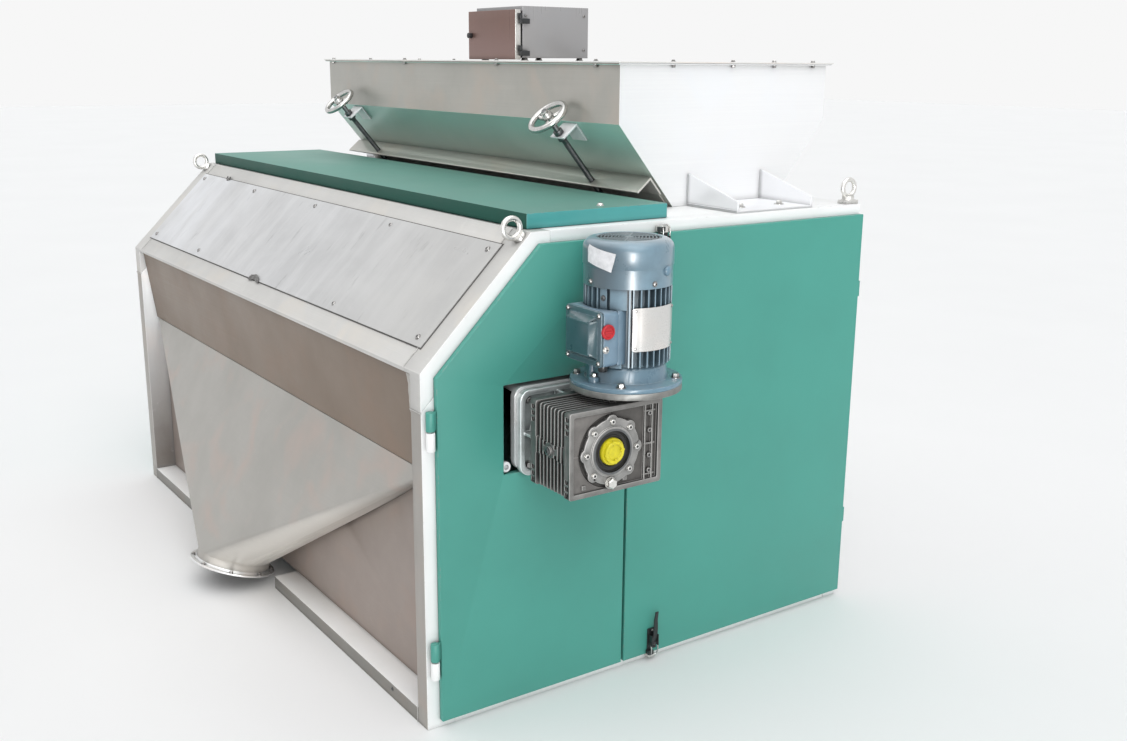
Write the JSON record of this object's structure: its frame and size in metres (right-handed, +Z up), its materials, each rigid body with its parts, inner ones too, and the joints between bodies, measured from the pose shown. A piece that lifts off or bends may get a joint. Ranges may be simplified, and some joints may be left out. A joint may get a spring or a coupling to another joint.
{
  "type": "magnetic destoner",
  "caption": "Wide sheet-steel separator cabinet with gated feed hopper, sloped access front, fan-shaped discharge chute, and a side drive of finned motor on worm gearbox.",
  "frame": {"origin": "centre of the bounding box at floor level", "axes": "+X towards the drive side, -Y towards the discharge chute, +Z up"},
  "size_m": [1.9314, 1.2726, 1.3083],
  "materials": {
    "white": "satin white paint",
    "green": "teal green paint",
    "stainless": "brushed stainless sheet",
    "dark_steel": "dark primer",
    "gear_grey": "silver grey paint on a casting",
    "motor_blue": "blue-grey paint",
    "black_rubber": "matt",
    "yellow_plastic": "smooth",
    "red_plastic": "smooth",
    "black_plastic": "matt",
    "zinc": "zinc plated",
    "chrome": "polished"
  },
  "bodies": {
    "cabinet": {"corner_posts": "white", "side_rails": "white", "cross_bottom_rails": "white", "slope_rails": "white", "slope_cross_bars": "white", "top_plate": "white", "top_lid": "green", "side_door_front": "green", "left_side_panel": "green", "hinge_frame_halves": "white", "front_hinge_door_halves": "green", "rear_panel": "white", "front_upper_strip": "stainless", "discharge_chute": "stainless", "outlet_flange": "stainless", "front_lower_panel": "stainless", "slope_panel": "stainless", "drive_side_plate": "dark_steel", "gearbox_output_flange": "gear_grey", "gearbox_housing": "gear_grey", "gearbox_cover": "gear_grey", "gearbox_seal": "black_rubber", "bearing_cap": "yellow_plastic", "motor_end_shield": "motor_blue", "motor_body": "motor_blue", "fan_cowl": "motor_blue", "terminal_box": "motor_blue", "terminal_box_lid": "motor_blue", "terminal_plug": "red_plastic", "hopper_body": "stainless", "hopper_cover": "stainless", "hopper_feet": "stainless", "gate_screw_brackets": "stainless", "control_box": "stainless", "box_hinge_fixed_halves": "black_plastic", "lifting_eyebolts": "zinc"},
    "rear_door": {"side_door_rear": "green", "rear_hinge_door_halves": "green", "door_latches": "zinc"},
    "box_door": {"control_box_door": "stainless", "box_door_fittings": "black_plastic"},
    "gate": {"gate_plate": "stainless", "gate_angle": "stainless"},
    "left_screw": {"gate_screw_left": "zinc", "handwheel_left": "chrome"},
    "right_screw": {"gate_screw_right": "zinc", "handwheel_right": "chrome"}
  },
  "joints": [
    {"name": "rear_door_hinge", "type": "hinge", "parent": "cabinet", "child": "rear_door", "pos_m": [0.71675, 0.59131, 0.45], "axis": [0, 0, 1], "range_deg": [0, 110]},
    {"name": "box_door_hinge", "type": "hinge", "parent": "cabinet", "child": "box_door", "pos_m": [0.14675, 0.10131, 1.25], "axis": [0, 0, 1], "range_deg": [0, 120]},
    {"name": "gate_slide", "type": "slide", "parent": "cabinet", "child": "gate", "axis": [0, -0.6433, 0.7656], "range_m": [0, 0.04]},
    {"name": "right_screw_turn", "type": "hinge", "parent": "cabinet", "child": "right_screw", "pos_m": [0.40175, 0.08865, 0.97766], "axis": [0, 0.6433, -0.7656], "range_deg": [0, 2880]},
    {"name": "left_screw_turn", "type": "hinge", "parent": "cabinet", "child": "left_screw", "pos_m": [-0.61825, 0.08865, 0.97766], "axis": [0, 0.6433, -0.7656], "range_deg": [0, 2880]}
  ],
  "couplings": [
    {"joint": "right_screw_turn", "follows": "gate_slide", "rad_per_m": 1256.6},
    {"joint": "left_screw_turn", "follows": "gate_slide", "rad_per_m": 1256.6}
  ]
}
